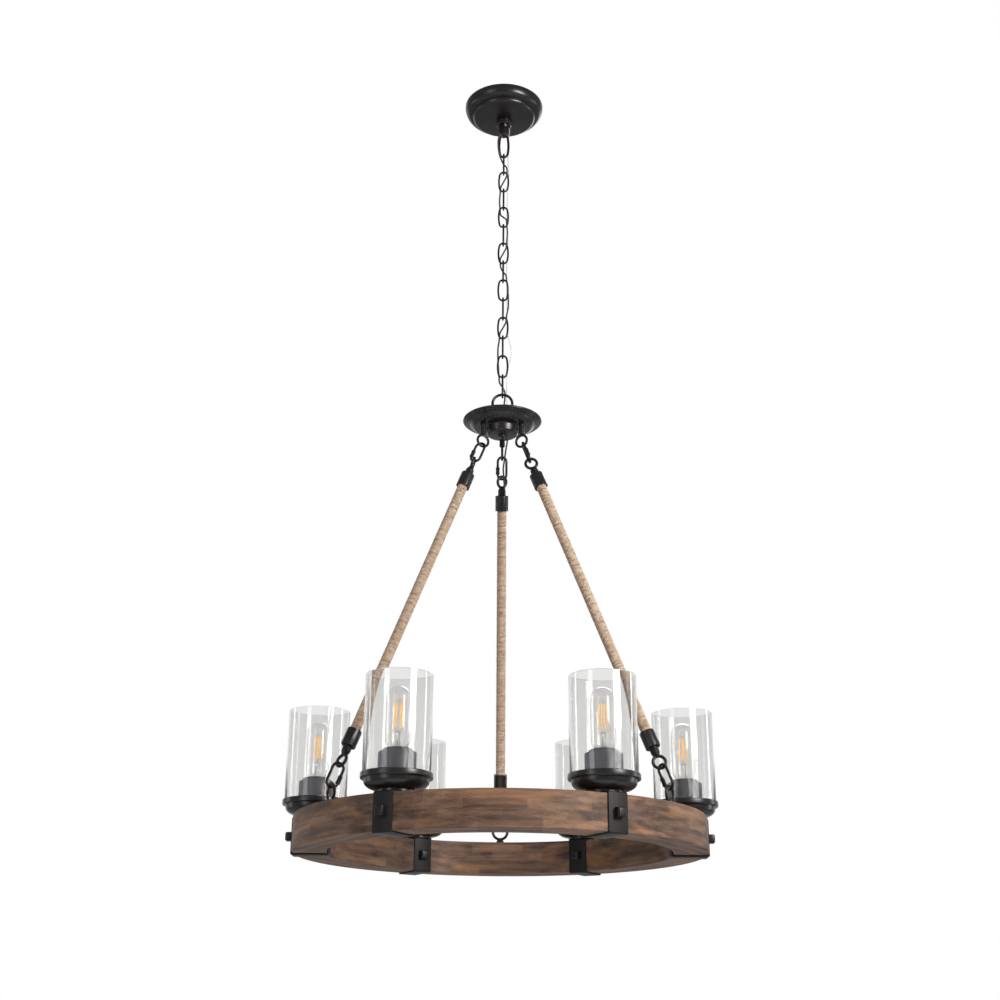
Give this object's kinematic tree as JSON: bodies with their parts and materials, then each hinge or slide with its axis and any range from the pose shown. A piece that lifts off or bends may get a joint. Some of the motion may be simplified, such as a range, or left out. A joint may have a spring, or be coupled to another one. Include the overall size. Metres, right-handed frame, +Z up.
{
  "type": "wagon wheel chandelier",
  "caption": "Ring of wooden felloes with strapped lamps in glass cylinders, hung by rope-wound rods from a hub on a chain and ceiling canopy.",
  "frame": {"origin": "centre of the ceiling face, on the axis of the canopy, where the crossbar and the canopy lie against the ceiling", "axes": "+Z up, along the chain; -Y towards the viewer of the picture; +X to the right; the left and right rods stand 60 degrees to either side of -Y and the back rod on +Y"},
  "size_m": [0.65, 0.61, 1.3262],
  "materials": {
    "black_steel": "satin black",
    "black_iron": "satin black, slightly worn",
    "zinc_steel": "zinc plated",
    "stained_wood": "walnut stain, matte",
    "jute_twine": "wound jute twine",
    "lead_sleeve": "dark brown braided sleeve",
    "wire_sleeve": "pale insulation",
    "socket_body": "dark moulded plastic",
    "shade_glass": "clear, smooth",
    "bulb_glass": "clear, with amber filaments"
  },
  "bodies": {
    "ceiling_parts": {"crossbar": "zinc_steel", "nipple": "zinc_steel", "canopy": "black_steel", "canopy_collar": "black_iron", "canopy_loop": "black_iron", "supply_lead": "lead_sleeve", "earth_wire": "wire_sleeve"},
    "chain_link_01": {"chain_link_01": "black_iron"},
    "chain_link_02": {"chain_link_02": "black_iron"},
    "chain_link_03": {"chain_link_03": "black_iron"},
    "chain_link_04": {"chain_link_04": "black_iron"},
    "chain_link_05": {"chain_link_05": "black_iron"},
    "chain_link_06": {"chain_link_06": "black_iron"},
    "chain_link_07": {"chain_link_07": "black_iron"},
    "chain_link_08": {"chain_link_08": "black_iron"},
    "chain_link_09": {"chain_link_09": "black_iron"},
    "chain_link_10": {"chain_link_10": "black_iron"},
    "chain_link_11": {"chain_link_11": "black_iron"},
    "chain_link_12": {"chain_link_12": "black_iron"},
    "chain_link_13": {"chain_link_13": "black_iron"},
    "hub": {"hub_loop": "black_iron", "hub_plate": "black_steel", "hub_cover": "black_steel", "hub_stem": "black_steel", "hub_eyes": "black_iron", "back_lead": "lead_sleeve"},
    "wheel": {"felloes": "stained_wood", "straps": "black_steel", "strap_bolts": "black_iron", "ring_eyes": "black_iron", "lamp_pans": "black_steel", "socket_sleeves": "black_steel", "sockets": "socket_body"},
    "left_hanger": {"left_rod": "zinc_steel", "left_rope": "jute_twine", "left_ferrules": "black_iron", "left_rod_eyes": "black_iron", "left_quick_links": "black_iron"},
    "right_hanger": {"right_rod": "zinc_steel", "right_rope": "jute_twine", "right_ferrules": "black_iron", "right_rod_eyes": "black_iron", "right_quick_links": "black_iron"},
    "back_hanger": {"back_rod": "zinc_steel", "back_rope": "jute_twine", "back_ferrules": "black_iron", "back_rod_eyes": "black_iron", "back_quick_links": "black_iron"},
    "shade_1": {"shade_1": "shade_glass"},
    "shade_2": {"shade_2": "shade_glass"},
    "shade_3": {"shade_3": "shade_glass"},
    "shade_4": {"shade_4": "shade_glass"},
    "shade_5": {"shade_5": "shade_glass"},
    "shade_6": {"shade_6": "shade_glass"},
    "bulb_1": {"bulb_1": "bulb_glass"},
    "bulb_2": {"bulb_2": "bulb_glass"},
    "bulb_3": {"bulb_3": "bulb_glass"},
    "bulb_4": {"bulb_4": "bulb_glass"},
    "bulb_5": {"bulb_5": "bulb_glass"},
    "bulb_6": {"bulb_6": "bulb_glass"}
  },
  "joints": [
    {"name": "link_01_swing", "type": "hinge", "parent": "ceiling_parts", "child": "chain_link_01", "pos_m": [0, 0, -0.10575], "axis": [1, 0, 0], "range_deg": [-5, 5], "deforming": ["supply_lead", "earth_wire"]},
    {"name": "link_02_swing", "type": "hinge", "parent": "chain_link_01", "child": "chain_link_02", "pos_m": [0, 0, -0.1417], "axis": [0, 1, 0], "range_deg": [-5, 5]},
    {"name": "link_03_swing", "type": "hinge", "parent": "chain_link_02", "child": "chain_link_03", "pos_m": [0, 0, -0.1782], "axis": [1, 0, 0], "range_deg": [-5, 5]},
    {"name": "link_04_swing", "type": "hinge", "parent": "chain_link_03", "child": "chain_link_04", "pos_m": [0, 0, -0.2147], "axis": [0, 1, 0], "range_deg": [-5, 5]},
    {"name": "link_05_swing", "type": "hinge", "parent": "chain_link_04", "child": "chain_link_05", "pos_m": [0, 0, -0.2512], "axis": [1, 0, 0], "range_deg": [-5, 5]},
    {"name": "link_06_swing", "type": "hinge", "parent": "chain_link_05", "child": "chain_link_06", "pos_m": [0, 0, -0.2877], "axis": [0, 1, 0], "range_deg": [-5, 5]},
    {"name": "link_07_swing", "type": "hinge", "parent": "chain_link_06", "child": "chain_link_07", "pos_m": [0, 0, -0.3242], "axis": [1, 0, 0], "range_deg": [-5, 5]},
    {"name": "link_08_swing", "type": "hinge", "parent": "chain_link_07", "child": "chain_link_08", "pos_m": [0, 0, -0.3607], "axis": [0, 1, 0], "range_deg": [-5, 5]},
    {"name": "link_09_swing", "type": "hinge", "parent": "chain_link_08", "child": "chain_link_09", "pos_m": [0, 0, -0.3972], "axis": [1, 0, 0], "range_deg": [-5, 5]},
    {"name": "link_10_swing", "type": "hinge", "parent": "chain_link_09", "child": "chain_link_10", "pos_m": [0, 0, -0.4337], "axis": [0, 1, 0], "range_deg": [-5, 5]},
    {"name": "link_11_swing", "type": "hinge", "parent": "chain_link_10", "child": "chain_link_11", "pos_m": [0, 0, -0.4702], "axis": [1, 0, 0], "range_deg": [-5, 5]},
    {"name": "link_12_swing", "type": "hinge", "parent": "chain_link_11", "child": "chain_link_12", "pos_m": [0, 0, -0.5067], "axis": [0, 1, 0], "range_deg": [-5, 5]},
    {"name": "link_13_swing", "type": "hinge", "parent": "chain_link_12", "child": "chain_link_13", "pos_m": [0, 0, -0.5432], "axis": [1, 0, 0], "range_deg": [-5, 5]},
    {"name": "hub_swing", "type": "hinge", "parent": "chain_link_13", "child": "hub", "pos_m": [0, 0, -0.5797], "axis": [0, 1, 0], "range_deg": [-5, 5]},
    {"name": "wheel_twist", "type": "hinge", "parent": "hub", "child": "wheel", "pos_m": [0, 0, -0.6672], "axis": [0, 0, 1], "range_deg": [-4, 4]},
    {"name": "left_hanger_swing", "type": "hinge", "parent": "hub", "child": "left_hanger", "pos_m": [-0.0347, -0.02004, -0.67635], "axis": [-0.8007, -0.4623, 0.381], "range_deg": [-2, 2]},
    {"name": "right_hanger_swing", "type": "hinge", "parent": "hub", "child": "right_hanger", "pos_m": [0.0347, -0.02004, -0.67635], "axis": [0.8007, -0.4623, 0.381], "range_deg": [-2, 2]},
    {"name": "back_hanger_swing", "type": "hinge", "parent": "hub", "child": "back_hanger", "pos_m": [0, 0.04007, -0.67635], "axis": [0, 0.9246, 0.381], "range_deg": [-2, 2], "deforming": ["back_lead"]},
    {"name": "shade_1_lift", "type": "slide", "parent": "wheel", "child": "shade_1", "axis": [0, 0, 1], "range_m": [0, 0.15]},
    {"name": "shade_2_lift", "type": "slide", "parent": "wheel", "child": "shade_2", "axis": [0, 0, 1], "range_m": [0, 0.15]},
    {"name": "shade_3_lift", "type": "slide", "parent": "wheel", "child": "shade_3", "axis": [0, 0, 1], "range_m": [0, 0.15]},
    {"name": "shade_4_lift", "type": "slide", "parent": "wheel", "child": "shade_4", "axis": [0, 0, 1], "range_m": [0, 0.15]},
    {"name": "shade_5_lift", "type": "slide", "parent": "wheel", "child": "shade_5", "axis": [0, 0, 1], "range_m": [0, 0.15]},
    {"name": "shade_6_lift", "type": "slide", "parent": "wheel", "child": "shade_6", "axis": [0, 0, 1], "range_m": [0, 0.15]},
    {"name": "bulb_1_lift", "type": "slide", "parent": "wheel", "child": "bulb_1", "axis": [0, 0, 1], "range_m": [0, 0.12]},
    {"name": "bulb_2_lift", "type": "slide", "parent": "wheel", "child": "bulb_2", "axis": [0, 0, 1], "range_m": [0, 0.12]},
    {"name": "bulb_3_lift", "type": "slide", "parent": "wheel", "child": "bulb_3", "axis": [0, 0, 1], "range_m": [0, 0.12]},
    {"name": "bulb_4_lift", "type": "slide", "parent": "wheel", "child": "bulb_4", "axis": [0, 0, 1], "range_m": [0, 0.12]},
    {"name": "bulb_5_lift", "type": "slide", "parent": "wheel", "child": "bulb_5", "axis": [0, 0, 1], "range_m": [0, 0.12]},
    {"name": "bulb_6_lift", "type": "slide", "parent": "wheel", "child": "bulb_6", "axis": [0, 0, 1], "range_m": [0, 0.12]}
  ],
  "couplings": [
    {"joint": "left_hanger_swing", "follows": "wheel_twist", "ratio": 0.44635},
    {"joint": "right_hanger_swing", "follows": "wheel_twist", "ratio": 0.44635},
    {"joint": "back_hanger_swing", "follows": "wheel_twist", "ratio": 0.44635}
  ]
}
